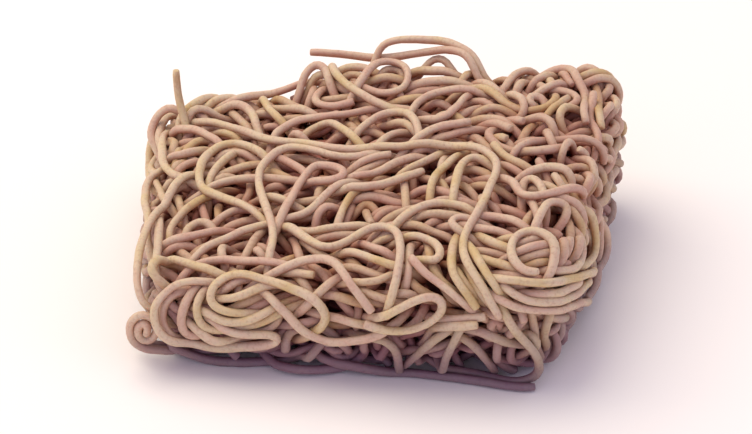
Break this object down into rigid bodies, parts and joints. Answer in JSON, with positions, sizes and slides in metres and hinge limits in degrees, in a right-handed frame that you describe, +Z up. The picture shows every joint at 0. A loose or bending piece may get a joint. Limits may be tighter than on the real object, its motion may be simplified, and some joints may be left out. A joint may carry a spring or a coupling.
{
  "type": "block of dried whole wheat noodles",
  "caption": "Rough cushion-shaped block of dried round whole wheat noodles, folded and tangled, thinner along one side, lying flat.",
  "frame": {"origin": "centre of the block's bounding box, on the flat underside that it lies on", "axes": "+X along the block's longer side, from the thin side to the thick side, +Y towards the back, +Z up"},
  "size_m": [0.0964, 0.0812, 0.0325],
  "materials": {
    "dried_wheat_dough": "dry, matt, extruded whole wheat dough with a slight floury bloom, tan and varying from strand to strand"
  },
  "bodies": {
    "root": {"noodle_block": "dried_wheat_dough"}
  },
  "joints": []
}
